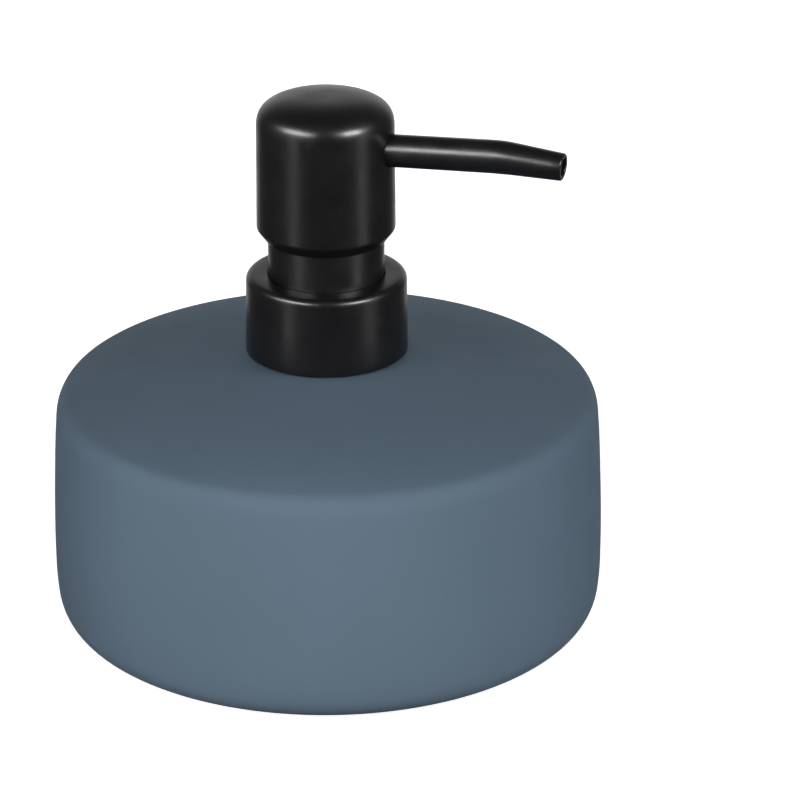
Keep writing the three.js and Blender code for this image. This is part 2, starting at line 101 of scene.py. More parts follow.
soft_box("left_fill", -54, 12, 0.7, 0.2, 0.9, 3.5, shines=False)
soft_box("right_fill", 66, 12, 0.7, 0.2, 0.9, 3.4, shines=False)
soft_box("front_fill", 0, 14, 0.34, 0.3, 0.2, 0.65, shines=False)
soft_box("left_strip", -54, 6, 0.7, 0.2, 0.8, 0.8, fills=False)
soft_box("right_strip", 62, 6, 0.7, 0.2, 0.8, 0.8, fills=False)
soft_box("left_box", -52, 33, 0.75, 0.6, 0.22, 9.0, fills=False)
soft_box("right_box", 48, 33, 0.75, 0.34, 0.22, 8.0, fills=False)
soft_box("rear_fill", 180, 12, 0.8, 0.9, 0.5, 3.0, shines=False)

floor_mesh = bpy.data.meshes.new("floor")
corners = [(x * FLOOR_HALF, y * FLOOR_HALF, 0) for x, y in ((-1, -1), (1, -1), (1, 1), (-1, 1))]
floor_mesh.from_pydata(corners, [], [(0, 1, 2, 3)])
floor = bpy.data.objects.new("floor", floor_mesh)
scene.collection.objects.link(floor)
# The floor glows so that it stays pale, and neither lights the dispenser nor shows in its gloss.
floor.visible_glossy = False
floor.visible_diffuse = False
floor_paint = bpy.data.materials.new("pale_floor")
floor_paint.use_nodes = True
paint = floor_paint.node_tree.nodes["Principled BSDF"]
paint.inputs["Base Color"].default_value = (0.8, 0.8, 0.8, 1)
paint.inputs["Roughness"].default_value = 1
paint.inputs["Specular IOR Level"].default_value = 0
paint.inputs["Emission Color"].default_value = (1, 1, 1, 1)
paint.inputs["Emission Strength"].default_value = 0.78
floor_mesh.materials.append(floor_paint)

world = bpy.data.worlds.new("studio")
scene.world = world
world.use_nodes = True
air = world.node_tree


def air_node(kind, values, **settings):
    """A node of the studio's surroundings, with its settings and inputs by number."""
    node = air.nodes.new(kind)
    for name, value in settings.items():
        setattr(node, name, value)
    for number, value in values.items():
        if isinstance(value, bpy.types.NodeSocket):
            air.links.new(value, node.inputs[number])
        else:
            node.inputs[number].default_value = value
    return node.outputs


heading = air_node("ShaderNodeTexCoord", {})["Generated"]
front = away_from_camera(0, 0)
ahead = air_node("ShaderNodeVectorMath", {0: heading, 1: front}, operation="DOT_PRODUCT")["Value"]
height = air_node("ShaderNodeSeparateXYZ", {0: heading})["Z"]
behind = air_node(
    "ShaderNodeMapRange", {0: ahead, 1: -0.7, 2: -0.95, 3: 0, 4: 1}, interpolation_type="SMOOTHSTEP")[0]
low = air_node(
    "ShaderNodeMapRange", {0: height, 1: 0.55, 2: 0.2, 3: 0, 4: 1}, interpolation_type="SMOOTHSTEP")[0]
wall = air_node("ShaderNodeMath", {0: behind, 1: low}, operation="MULTIPLY")[0]
upper = air_node("ShaderNodeMapRange", {0: height, 1: -0.3, 2: 0.3, 3: LOWER_GLOW, 4: UPPER_GLOW})[0]
glow = air_node("ShaderNodeMath", {0: wall, 1: WALL_GLOW, 2: upper}, operation="MULTIPLY_ADD")[0]
air.links.new(glow, air.nodes["Background"].inputs["Strength"])
air.nodes["Background"].inputs["Color"].default_value = (1, 1, 1, 1)
scene.view_settings.view_transform = "Standard"


# ---------------------------------------------------------------------------
# Bottle: a squat stoneware jar, slip cast in one piece with a low cone shoulder.
# The outside is sprayed with a soft-touch blue-grey coat; the inside keeps its pale glaze
# and the foot ring that it stood on in the kiln stays bare.
# ---------------------------------------------------------------------------
BOTTLE_R = 59
MOUTH_Z = 59.85
MOUTH_BORE = 14.2
BOTTLE_FLOOR_Z = 6
FOOT_R = 50
COAT_COLOUR = (0.100, 0.142, 0.187)
GLAZE_COLOUR = (0.62, 0.60, 0.55)
BARE_CLAY = (0.50, 0.45, 0.38)


def smooth_line(points, steps):
    """A smooth curve through outline points, with the same number of steps on each stretch."""
    ends = [2 * Vector(points[0]) - Vector(points[1]), 2 * Vector(points[-1]) - Vector(points[-2])]
    knots = [ends[0], *map(Vector, points), ends[1]]
    curve = []
    for p0, p1, p2, p3 in zip(knots, knots[1:], knots[2:], knots[3:]):
        t1 = (p1 - p0).length ** 0.5
        t2 = t1 + (p2 - p1).length ** 0.5
        t3 = t2 + (p3 - p2).length ** 0.5
        for step in range(steps):
            t = t1 + (t2 - t1) * step / steps
            a1 = p0.lerp(p1, t / t1)
            a2 = p1.lerp(p2, (t - t1) / (t2 - t1))
            a3 = p2.lerp(p3, (t - t2) / (t3 - t2))
            b1 = a1.lerp(a2, t / t2)
            b2 = a2.lerp(a3, (t - t1) / (t3 - t1))
            curve.append(tuple(b1.lerp(b2, (t - t1) / (t2 - t1))))
    return [*curve, tuple(points[-1])]


def rounded(before, corner, after, radius):
    """The points of an arc that rounds off one corner of an outline."""
    here = Vector(corner)
    back = (Vector(before) - here).normalized()
    on = (Vector(after) - here).normalized()
    half_angle = back.angle(on) / 2
    centre = here + (back + on).normalized() * radius / math.sin(half_angle)
    start = here + back * radius / math.tan(half_angle) - centre
    end = here + on * radius / math.tan(half_angle) - centre
    sweep = math.atan2(start.cross(end), start.dot(end))
    return [tuple(centre + Matrix.Rotation(sweep * i / 5, 2) @ start) for i in range(6)]


def softened(outline):
    """An outline of (radius, height) points; a third number is the radius that rounds that corner."""
    points = []
    for i, item in enumerate(outline):
        if len(item) == 2:
            points.append(tuple(item))
        else:
            after = outline[(i + 1) % len(outline)]
            points += rounded(outline[i - 1][:2], item[:2], after[:2], item[2])
    return points


class Tree:
    """A geometry tree that is written down node by node."""

    def __init__(self, name, **inputs):
        self.group = bpy.data.node_groups.new(name, "GeometryNodeTree")
        sockets = self.group.interface
        sockets.new_socket("Geometry", in_out="INPUT", socket_type="NodeSocketGeometry")
        sockets.new_socket("Geometry", in_out="OUTPUT", socket_type="NodeSocketGeometry")
        for label, kind in inputs.items():
            sockets.new_socket(label.replace("_", " "), in_out="INPUT", socket_type="NodeSocket" + kind)
        self.given = self.group.nodes.new("NodeGroupInput").outputs
        self.result = self.group.nodes.new("NodeGroupOutput").inputs

    def node(self, kind, values, **settings):
        made = self.group.nodes.new(kind)
        for name, value in settings.items():
            setattr(made, name, value)
        for key, value in values.items():
            if isinstance(value, bpy.types.NodeSocket):
                self.group.links.new(value, made.inputs[key])
            else:
                made.inputs[key].default_value = value
        return made.outputs

    def sum(self, operation, *values):
        return self.node("ShaderNodeMath", dict(enumerate(values)), operation=operation)[0]

    def run(self, source, **values):
        """Applies the tree to a mesh and gives back the plain mesh that it makes."""
        holder = bpy.data.objects.new(source.name, source)
        scene.collection.objects.link(holder)
        modifier = holder.modifiers.new(self.group.name, "NODES")
        modifier.node_group = self.group
        for item in self.group.interface.items_tree:
            if item.in_out == "INPUT" and item.name.replace(" ", "_") in values:
                modifier[item.identifier] = values[item.name.replace(" ", "_")]
        return plain_mesh(holder)


def plain_mesh(holder):
    """The mesh that an object's modifiers make, as a mesh of its own; the object goes."""
    ready = holder.evaluated_get(bpy.context.evaluated_depsgraph_get())
    mesh = bpy.data.meshes.new_from_object(ready)
    mesh.name = holder.name
    if mesh.materials[0] is None:
        mesh.materials.pop(index=0)
    bpy.data.objects.remove(holder)
    return mesh


turning = Tree(
    "turned_round_the_pump_axis", Facets="Int", Outside_finish="Material", Inside_finish="Material",
    Inside_from_row="Float")
rows = turning.node("GeometryNodeAttributeDomainSize", {0: turning.given["Geometry"]})["Point Count"]
columns = turning.sum("ADD", turning.given["Facets"], 1)
sheet = turning.node(
    "GeometryNodeMeshGrid", {"Size X": 1, "Size Y": 1, "Vertices X": columns, "Vertices Y": rows})["Mesh"]
flat_place = turning.node("ShaderNodeSeparateXYZ", {0: turning.node("GeometryNodeInputPosition", {})[0]})
row = turning.sum("MULTIPLY", turning.sum("ADD", flat_place["Y"], 0.5), turning.sum("SUBTRACT", rows, 1))
inside = turning.sum("GREATER_THAN", row, turning.given["Inside from row"])
sheet = turning.node(
    "GeometryNodeStoreNamedAttribute", {"Geometry": sheet, "Name": "inside", "Value": inside},
    data_type="BOOLEAN", domain="FACE")[0]
outline_place = turning.node(
    "GeometryNodeSampleIndex",
    {"Geometry": turning.given["Geometry"], "Value": turning.node("GeometryNodeInputPosition", {})[0],
     "Index": turning.sum("ROUND", row)}, data_type="FLOAT_VECTOR")[0]
outline_place = turning.node("ShaderNodeSeparateXYZ", {0: outline_place})
angle = turning.sum("MULTIPLY", turning.sum("ADD", flat_place["X"], 0.5), 2 * math.pi)
round_place = turning.node("ShaderNodeCombineXYZ", {
    0: turning.sum("MULTIPLY", outline_place["X"], turning.sum("COSINE", angle)),
    1: turning.sum("MULTIPLY", outline_place["X"], turning.sum("SINE", angle)),
    2: outline_place["Z"]})[0]
sheet = turning.node("GeometryNodeSetPosition", {"Geometry": sheet, "Position": round_place})[0]
sheet = turning.node("GeometryNodeMergeByDistance", {"Geometry": sheet, "Distance": 1e-6})[0]
sheet = turning.node("GeometryNodeRealizeInstances", {"Geometry": sheet})[0]
sheet = turning.node("GeometryNodeSetMaterial", {
    "Geometry": sheet, "Material": turning.given["Outside finish"]})[0]
on_inside = turning.node("GeometryNodeInputNamedAttribute", {"Name": "inside"}, data_type="BOOLEAN")[0]
sheet = turning.node("GeometryNodeSetMaterial", {
    "Geometry": sheet, "Selection": on_inside, "Material": turning.given["Inside finish"]})[0]
turning.group.links.new(sheet, turning.result[0])


def section_mesh(name, points):
    """Outline points, in millimetres, laid in the plane of the pump's axis for a geometry tree."""
    mesh = bpy.data.meshes.new(name)
    mesh.from_pydata([(r * MM, 0, z * MM) for r, z in points], [], [])
    return mesh


def turned(name, outline, finish, facets=96, inside_finish=None, inside_from_row=1e6):
    """A piece turned round Z. The outline runs up the outside and down the inside."""
    points = softened(outline)
    if points[0][0] or points[-1][0]:
        points.append(points[0])
    mesh = turning.run(
        section_mesh(name, points), Facets=facets, Outside_finish=finish,
        Inside_finish=inside_finish or finish, Inside_from_row=float(inside_from_row))
    return smooth_shaded(mesh)


def smooth_shaded(mesh, crease=35):
    """Smooth shading that stays sharp where two faces meet at more than the crease angle."""
    mesh.shade_smooth()
    mesh.set_sharp_from_angle(angle=math.radians(crease))
    return mesh


def fit_piece(mesh, body, node):
    """Puts a finished mesh on its body in place of its CAD node."""
    piece = bpy.data.objects.new("fine_" + node, mesh)
    scene.collection.objects.link(piece)
    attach(piece, body)
    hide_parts(node)
    return piece


class Finish:
    """A material that is written down node by node on the object's own coordinates."""

    def __init__(self, name, colour, roughness, **sockets):
        self.material = bpy.data.materials.new(name)
        self.material.use_nodes = True
        self.nodes = self.material.node_tree.nodes
        self.shader = self.nodes["Principled BSDF"]
        self.shader.inputs["Base Color"].default_value = (*colour, 1)
        self.shader.inputs["Roughness"].default_value = roughness
        for label, value in sockets.items():
            self.shader.inputs[label.replace("_", " ")].default_value = value

    def node(self, kind, values, **settings):
        made = self.nodes.new(kind)
        for name, value in settings.items():
            setattr(made, name, value)
        for key, value in values.items():
            if isinstance(value, bpy.types.NodeSocket):
                self.material.node_tree.links.new(value, made.inputs[key])
            else:
                made.inputs[key].default_value = value
        return made.outputs

    def place(self):
        return self.node("ShaderNodeTexCoord", {})["Object"]

    def noise(self, per_metre, detail=3, stretch=(1, 1, 1)):
        """Cloudy noise; stretch squeezes it along an axis by that factor."""
        place = self.node("ShaderNodeMapping", {"Vector": self.place(), "Scale": stretch})[0]
        return self.node("ShaderNodeTexNoise", {"Vector": place, "Scale": per_metre, "Detail": detail})[0]

    def ranged(self, value, start, end, low=0, high=1):
        return self.node("ShaderNodeMapRange", {0: value, 1: start, 2: end, 3: low, 4: high})[0]

    def mixed(self, factor, first, second):
        """Two colours, or a colour and a socket, mixed by a factor."""
        sockets = {}
        for key, value in ((6, first), (7, second)):
            sockets[key] = (*value, 1) if isinstance(value, tuple) else value
        return self.node("ShaderNodeMix", {0: factor, **sockets}, data_type="RGBA")[2]

    def drive(self, label, value):
        self.material.node_tree.links.new(value, self.shader.inputs[label])

    def relief(self, value, depth_mm, under=None):
        """Raises the surface by a value; under is relief that it lies on."""
        values = {"Height": value, "Distance": depth_mm * MM}
        if under is not None:
            values["Normal"] = under
        made = self.node("ShaderNodeBump", values)[0]
        self.drive("Normal", made)
        return made


def shade(colour, factor):
    return tuple(factor * part for part in colour)


coat = Finish("soft_touch_coat", COAT_COLOUR, 0.6, Specular_IOR_Level=0.03)
clouds = coat.ranged(coat.noise(26), 0.3, 0.7)
coat_tint = coat.mixed(clouds, shade(COAT_COLOUR, 0.965), shade(COAT_COLOUR, 1.035))
speckle = coat.ranged(coat.noise(1400, 2), 0.66, 0.74, 0, 0.5)
coat_tint = coat.mixed(speckle, coat_tint, shade(COAT_COLOUR, 0.88))
above_floor = coat.node("ShaderNodeSeparateXYZ", {0: coat.place()})["Z"]
coated = coat.ranged(above_floor, 0.15 * MM, 0.4 * MM)
coat.drive("Base Color", coat.mixed(coated, BARE_CLAY, coat_tint))
coat.drive("Roughness", coat.ranged(coat.noise(150, 5), 0.3, 0.7, 0.6, 0.72))
casting_waves = coat.relief(coat.noise(40, 2), 0.04)
coat.relief(coat.noise(2400, 2), 0.01, casting_waves)

glaze = Finish("pale_glaze", GLAZE_COLOUR, 0.2, Coat_Weight=0.4)
iron_specks = glaze.ranged(glaze.noise(800, 2), 0.64, 0.72)
glaze.drive("Base Color", glaze.mixed(iron_specks, GLAZE_COLOUR, shade(GLAZE_COLOUR, 0.55)))
glaze.drive("Roughness", glaze.ranged(glaze.noise(90), 0.3, 0.7, 0.14, 0.28))
glaze.relief(glaze.noise(110), 0.06)

outer_wall = smooth_line([
    (FOOT_R, 0), (FOOT_R + 4, 0.45), (BOTTLE_R - 2.3, 1.9), (BOTTLE_R - 0.8, 4.4), (BOTTLE_R - 0.15, 9),
    (BOTTLE_R, 16), (BOTTLE_R - 0.1, 24), (BOTTLE_R - 0.45, 34), (BOTTLE_R - 0.95, 43.5),
    (BOTTLE_R - 1.5, 48), (BOTTLE_R - 2.9, 50.3), (BOTTLE_R - 6.2, 51.7), (BOTTLE_R - 13, 53.6),
    (31.6, 56.73), (17.2, 59.85),
], 6)
inner_wall = smooth_line([
    (40, 49.2), (49.8, 46.05), (53.4, 42.45), (54.4, 27), (53.6, 11), (49.4, 6.8), (44.4, BOTTLE_FLOOR_Z),
], 6)
under_foot = [(0, 1.2), (41.4, 1.2), (42.6, 0.6), (43.4, 0)]
mouth = [(MOUTH_BORE, MOUTH_Z, 0.4), (MOUTH_BORE, 55.05, 0.5)]
bottle_mesh = turned(
    "bottle", [*under_foot, *outer_wall, *mouth, *inner_wall, (0, BOTTLE_FLOOR_Z)], coat.material, 192,
    glaze.material, len(under_foot) + len(outer_wall) + 5.5)
fit_piece(smooth_shaded(bottle_mesh, 50), "bottle", "bottle")


# ---------------------------------------------------------------------------
# Neck: a black plastic ring with a screw thread, pushed into the ceramic mouth.
# A ribbed silicone sleeve round its plug grips the bore and seals it.
# ---------------------------------------------------------------------------
INNER_BLACK = (0.010, 0.010, 0.0105)
SILICONE = (0.60, 0.61, 0.58)
THREAD_PITCH = 25.4 / 6
THREAD_ROOT_R = 12.7
THREAD_CREST_R = 13.75
NECK_BORE = 11.2
NECK_TOP_Z = 71.95
NECK_FOOT_Z = 53.35
NECK_FLANGE_R = 15.35
NECK_FLANGE_Z = (59.9, 60.95)
THREAD_MIDDLE_Z = 64.25
THREAD_HALF_WIDTH = (0.8, 0.45)
THREAD_SUNK = 0.3
PLUG_R = MOUTH_BORE - 1.3
RIB_R = MOUTH_BORE - 0.05
SEAL_Z = (54.05, 59.55)

inner_black = Finish("inner_black_moulding", INNER_BLACK, 0.5, Specular_IOR_Level=0.35)
flow = inner_black.ranged(inner_black.noise(60, 3, (1, 1, 0.3)), 0.3, 0.7)
inner_black.drive("Base Color", inner_black.mixed(flow, shade(INNER_BLACK, 0.8), shade(INNER_BLACK, 1.25)))
inner_black.drive("Roughness", inner_black.ranged(inner_black.noise(240), 0.3, 0.7, 0.42, 0.58))
inner_black.relief(inner_black.noise(3200, 2), 0.008)

silicone = Finish("translucent_silicone", SILICONE, 0.5, Subsurface_Weight=0.35, Subsurface_Scale=0.002)
silicone_dust = silicone.ranged(silicone.noise(500), 0.45, 0.75)
silicone.drive("Base Color", silicone.mixed(silicone_dust, SILICONE, (0.50, 0.51, 0.49)))
silicone.drive("Roughness", silicone.ranged(silicone.noise(120), 0.3, 0.7, 0.42, 0.6))
silicone.relief(silicone.noise(1500, 2), 0.012)

coiling = Tree(
    "coiled_round_the_pump_axis", Steps="Int", Turns="Float", Start_turn="Float", Start_height="Float",
    Radius="Float", Lead="Float", Closed_turns="Float", Closed_lead="Float", Run_out="Float",
    Finish="Material")
section_rows = coiling.node(
    "GeometryNodeAttributeDomainSize", {0: coiling.given["Geometry"]})["Point Count"]
ribbon = coiling.node(
    "GeometryNodeMeshGrid",
    {"Size X": 1, "Size Y": 1, "Vertices X": coiling.given["Steps"], "Vertices Y": section_rows})["Mesh"]
flat_place = coiling.node("ShaderNodeSeparateXYZ", {0: coiling.node("GeometryNodeInputPosition", {})[0]})
turn = coiling.sum("MULTIPLY", coiling.sum("ADD", flat_place["X"], 0.5), coiling.given["Turns"])
to_end = coiling.sum("MINIMUM", turn, coiling.sum("SUBTRACT", coiling.given["Turns"], turn))
fullness = coiling.node(
    "ShaderNodeMapRange", {0: to_end, 1: 0, 2: coiling.given["Run out"]}, interpolation_type="SMOOTHSTEP")[0]
open_turns = coiling.sum(
    "SUBTRACT", coiling.given["Turns"], coiling.sum("MULTIPLY", coiling.given["Closed turns"], 2))
past_start = coiling.sum("MAXIMUM", coiling.sum("SUBTRACT", turn, coiling.given["Closed turns"]), 0)
open_turn = coiling.sum("MINIMUM", past_start, open_turns)
closed_turn = coiling.sum("SUBTRACT", turn, open_turn)
rise = coiling.sum("MULTIPLY_ADD", open_turn, coiling.given["Lead"], coiling.given["Start height"])
rise = coiling.sum("MULTIPLY_ADD", closed_turn, coiling.given["Closed lead"], rise)
section_row = coiling.sum(
    "MULTIPLY", coiling.sum("ADD", flat_place["Y"], 0.5), coiling.sum("SUBTRACT", section_rows, 1))
section_place = coiling.node(
    "GeometryNodeSampleIndex",
    {"Geometry": coiling.given["Geometry"], "Value": coiling.node("GeometryNodeInputPosition", {})[0],
     "Index": coiling.sum("ROUND", section_row)}, data_type="FLOAT_VECTOR")[0]
section_place = coiling.node("ShaderNodeSeparateXYZ", {0: section_place})
angle = coiling.sum("MULTIPLY", coiling.sum("ADD", turn, coiling.given["Start turn"]), 2 * math.pi)
distance = coiling.sum("MULTIPLY_ADD", section_place["X"], fullness, coiling.given["Radius"])
coil_place = coiling.node("ShaderNodeCombineXYZ", {
    0: coiling.sum("MULTIPLY", distance, coiling.sum("COSINE", angle)),
    1: coiling.sum("MULTIPLY", distance, coiling.sum("SINE", angle)),
    2: coiling.sum("MULTIPLY_ADD", section_place["Z"], fullness, rise)})[0]
ribbon = coiling.node("GeometryNodeSetPosition", {"Geometry": ribbon, "Position": coil_place})[0]
ribbon = coiling.node("GeometryNodeMergeByDistance", {"Geometry": ribbon, "Distance": 1e-6})[0]
ribbon = coiling.node("GeometryNodeRealizeInstances", {"Geometry": ribbon})[0]
ribbon = coiling.node("GeometryNodeSetMaterial", {
    "Geometry": ribbon, "Material": coiling.given["Finish"]})[0]
coiling.group.links.new(ribbon, coiling.result[0])


def coiled(name, section, finish, radius, start_z, lead, turns, start_turn=0.0, run_out=0.15,
           closed_turns=0.0, closed_lead=0.0, steps_per_turn=72):
    """A section swept up a helix, tapering to nothing at both ends."""
    points = softened(section)
    points.append(points[0])
    mesh = coiling.run(
        section_mesh(name, points), Steps=int(turns * steps_per_turn) + 1, Turns=float(turns),
        Start_turn=float(start_turn), Start_height=start_z * MM, Radius=radius * MM, Lead=lead * MM,
        Closed_turns=float(closed_turns), Closed_lead=closed_lead * MM, Run_out=run_out, Finish=finish)
    return smooth_shaded(mesh)


def joined(mesh, *others):
    """One mesh made of several that share their materials in the same order."""
    holders = [bpy.data.objects.new(part.name, part) for part in (mesh, *others)]
    for holder in holders:
        scene.collection.objects.link(holder)
    with bpy.context.temp_override(active_object=holders[0], selected_editable_objects=holders):
        bpy.ops.object.join()
    bpy.data.objects.remove(holders[0])
    return mesh


neck_body = turned("neck_insert", [
    (NECK_BORE, NECK_FOOT_Z), (PLUG_R - 0.4, NECK_FOOT_Z), (PLUG_R, NECK_FOOT_Z + 0.5),
    (PLUG_R, NECK_FLANGE_Z[0]), (NECK_FLANGE_R, NECK_FLANGE_Z[0], 0.25),
    (NECK_FLANGE_R, NECK_FLANGE_Z[1], 0.25), (THREAD_ROOT_R, NECK_FLANGE_Z[1], 0.3),
    (THREAD_ROOT_R, NECK_TOP_Z, 0.3), (NECK_BORE, NECK_TOP_Z, 0.3),
], inner_black.material)
male_depth = THREAD_CREST_R - THREAD_ROOT_R + THREAD_SUNK
male_start = 0.0125
root, crest = THREAD_HALF_WIDTH
male_thread = coiled(
    "male_thread", [(0, -root), (male_depth, -crest, 0.2), (male_depth, crest, 0.2), (0, root)],
    inner_black.material, THREAD_ROOT_R - THREAD_SUNK, THREAD_MIDDLE_Z + male_start * THREAD_PITCH,
    THREAD_PITCH, 1.5, male_start)
fit_piece(joined(neck_body, male_thread), "neck", "neck_insert")

seal_r = RIB_R - 0.5
ribs = []
for rib_z in (SEAL_Z[0] + 1, SEAL_Z[0] + 3.6):
    ribs += [(seal_r, rib_z - 0.4), (RIB_R, rib_z, 0.15), (seal_r, rib_z + 0.8)]
seal_mesh = turned("neck_seal", [
    (PLUG_R + 0.05, SEAL_Z[0]), (seal_r, SEAL_Z[0], 0.15), *ribs, (seal_r, SEAL_Z[1], 0.15),
    (PLUG_R + 0.05, SEAL_Z[1]),
], silicone.material)
fit_piece(seal_mesh, "neck", "neck_seal")


# ---------------------------------------------------------------------------
# Pump cylinder and cage: a natural polypropylene barrel hung by its flange, with the inlet's
# conical ball seat at its foot, a socket for the dip tube and a vent hole high in its side.
# A ported cage of the same plastic snaps in over the inlet ball.
# ---------------------------------------------------------------------------
NATURAL_PLASTIC = (0.72, 0.72, 0.66)
CYLINDER_R = 7.4
CYLINDER_BORE = 6.3
CYLINDER_FOOT_Z = (38.9, 39.4)
FLANGE_Z = (73, 74.05)
VENT_R = 0.6
VENT_Z = 63.425
SOCKET_WALL = 1.3
SOCKET_Z = (27.05, 34.05)
TUBE_R = 3
BALL_R = 2
BALL_SEAT_SLOPE = 0.7
INLET_SEAT_R = 1.3
INLET_SEAT_Z = 35.3
INLET_POCKET_R = BALL_R + 0.7

natural = Finish(
    "natural_polypropylene", NATURAL_PLASTIC, 0.38, Subsurface_Weight=0.5, Subsurface_Scale=0.003)
milkiness = natural.ranged(natural.noise(70, 3, (1, 1, 0.4)), 0.3, 0.7)
natural.drive("Base Color", natural.mixed(milkiness, shade(NATURAL_PLASTIC, 0.94), NATURAL_PLASTIC))
natural.drive("Roughness", natural.ranged(natural.noise(200), 0.3, 0.7, 0.3, 0.46))
natural.relief(natural.noise(900, 2), 0.01)


def cut(mesh, *cutters):
    """A mesh with other closed meshes taken away from it; the cutters go."""
    holder = bpy.data.objects.new(mesh.name, mesh)
    scene.collection.objects.link(holder)
    tools = []
    for cutter in cutters:
        tool = bpy.data.objects.new(cutter.name, cutter)
        scene.collection.objects.link(tool)
        tools.append(tool)
        away = holder.modifiers.new(cutter.name, "BOOLEAN")
        away.operation = "DIFFERENCE"
        away.solver = "EXACT"
        away.object = tool
    trimmed = plain_mesh(holder)
    for tool in tools:
        bpy.data.objects.remove(tool)
    return smooth_shaded(trimmed)


def drill(radius, length, place):
    """A round cutter that stands on Z before it is laid in place."""
    mesh = turned("drill", [(0, 0), (radius, 0), (radius, length), (0, length)], inner_black.material, 32)
    mesh.transform(place)
    return mesh


housing_body = turned("housing", [
    (TUBE_R + 0.1, SOCKET_Z[0]), (TUBE_R + SOCKET_WALL, SOCKET_Z[0], 0.25),
    (TUBE_R + SOCKET_WALL, INLET_SEAT_Z - 1, 0.6), (CYLINDER_R, CYLINDER_FOOT_Z[0], 0.6),
    (CYLINDER_R, FLANGE_Z[0], 0.25), (THREAD_ROOT_R, FLANGE_Z[0], 0.15), (THREAD_ROOT_R, FLANGE_Z[1], 0.15),
    (CYLINDER_BORE, FLANGE_Z[1], 0.15), (CYLINDER_BORE, CYLINDER_FOOT_Z[1]),
    (INLET_POCKET_R, CYLINDER_FOOT_Z[1]),
    (INLET_POCKET_R, INLET_SEAT_Z + (INLET_POCKET_R - INLET_SEAT_R) / BALL_SEAT_SLOPE),
    (INLET_SEAT_R, INLET_SEAT_Z), (INLET_SEAT_R, SOCKET_Z[1]), (TUBE_R + 0.1, SOCKET_Z[1]),
], natural.material)
vent_place = Matrix.Translation(((CYLINDER_R - 2) * MM, 0, VENT_Z * MM))
vent = drill(VENT_R, 4, vent_place @ Matrix.Rotation(math.pi / 2, 4, "Y"))
fit_piece(cut(housing_body, vent), "pump", "housing")
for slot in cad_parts["spring_cage"].material_slots:
    slot.material = natural.material


# ---------------------------------------------------------------------------
# Dip tube: a length of extruded polyethylene tube, pressed up into the cylinder's socket.
# Its foot is cut at a slant so that the bottle's floor cannot close it.
# ---------------------------------------------------------------------------
TUBE_COLOUR = (0.70, 0.72, 0.70)
TUBE_BORE = 2
TUBE_Z = (6.9, 34)
TUBE_SLANT = math.radians(30)
KNIFE = (12, 6)

tube_plastic = Finish(
    "extruded_tube", TUBE_COLOUR, 0.32, Subsurface_Weight=0.4, Subsurface_Scale=0.003,
    Transmission_Weight=0.25, IOR=1.51)
draw_lines = tube_plastic.noise(1800, 2, (1, 1, 0.02))
tube_plastic.drive("Roughness", tube_plastic.ranged(draw_lines, 0.3, 0.7, 0.24, 0.42))
tube_haze = tube_plastic.ranged(tube_plastic.noise(90), 0.3, 0.7)
tube_plastic.drive("Base Color", tube_plastic.mixed(tube_haze, TUBE_COLOUR, (0.63, 0.65, 0.62)))
tube_plastic.relief(draw_lines, 0.015)

tube_foot = TUBE_Z[0] - 1
tube_mesh = turned("dip_tube", [
    (TUBE_BORE, tube_foot), (TUBE_R, tube_foot), (TUBE_R, TUBE_Z[1]), (TUBE_BORE, TUBE_Z[1]),
], tube_plastic.material, 64)
slant_z = TUBE_Z[0] + TUBE_R * math.tan(TUBE_SLANT) + 0.15
slant_cut = Matrix.Translation((0, 0, slant_z * MM)) @ Matrix.Rotation(TUBE_SLANT, 4, "Y")
knife = drill(*KNIFE, slant_cut @ Matrix.Translation((0, 0, -KNIFE[1] * MM)))
fit_piece(cut(tube_mesh, knife), "pump", "dip_tube")


# ---------------------------------------------------------------------------
# Gasket: a soft washer cut from silicone sheet, loose round the cylinder. The closure
# squeezes it between the cylinder's flange and the neck's rim.
# ---------------------------------------------------------------------------
GASKET_Z = (72, 72.95)

gasket_mesh = turned("gasket", [
    (CYLINDER_R + 0.5, GASKET_Z[0]), (THREAD_ROOT_R, GASKET_Z[0], 0.2), (THREAD_ROOT_R, GASKET_Z[1], 0.2),
    (CYLINDER_R + 0.5, GASKET_Z[1]),
], silicone.material)
fit_piece(gasket_mesh, "pump", "gasket")


# ---------------------------------------------------------------------------
# Return spring: stainless wire wound in six open turns, with a closed turn at each end.
# It stands on the cage and shortens as the piston comes down on it.
# ---------------------------------------------------------------------------
SPRING_R = 4.95
WIRE_R = 0.45
SPRING_Z = (41.5, 58.4)
OPEN_TURNS = 6
WIRE_GAP = 0.1

steel = Finish("drawn_stainless", (0.60, 0.60, 0.59), 0.25, Metallic=1, Anisotropic=0.3)
die_marks = steel.noise(2500, 3, (1, 1, 4))
steel.drive("Roughness", steel.ranged(die_marks, 0.3, 0.7, 0.16, 0.34))
steel_tarnish = steel.ranged(steel.noise(300), 0.4, 0.7)
steel.drive("Base Color", steel.mixed(steel_tarnish, (0.62, 0.62, 0.61), (0.50, 0.49, 0.47)))
steel.relief(die_marks, 0.004)

wire = [(WIRE_R * math.cos(a * math.pi / 6), WIRE_R * math.sin(a * math.pi / 6)) for a in range(12)]
free_length = SPRING_Z[1] - SPRING_Z[0]
closed_lead = 2 * WIRE_R + WIRE_GAP
open_lead = (free_length - 2 * WIRE_R - WIRE_GAP - 2 * closed_lead) / OPEN_TURNS
spring_mesh = coiled(
    "return_spring", wire, steel.material, SPRING_R, SPRING_Z[0] + WIRE_R + WIRE_GAP / 2, open_lead,
    OPEN_TURNS + 2, run_out=0.3, closed_turns=1, closed_lead=closed_lead)
spring = fit_piece(spring_mesh, "pump", "return_spring")
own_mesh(spring)


# ---------------------------------------------------------------------------
# Check balls: stainless bearing balls that close the cylinder's foot and the stem's top.
# Each one rests in a conical seat; the inlet's is here and the outlet's comes with the stem.
# ---------------------------------------------------------------------------
BALL_GAP = 0.03


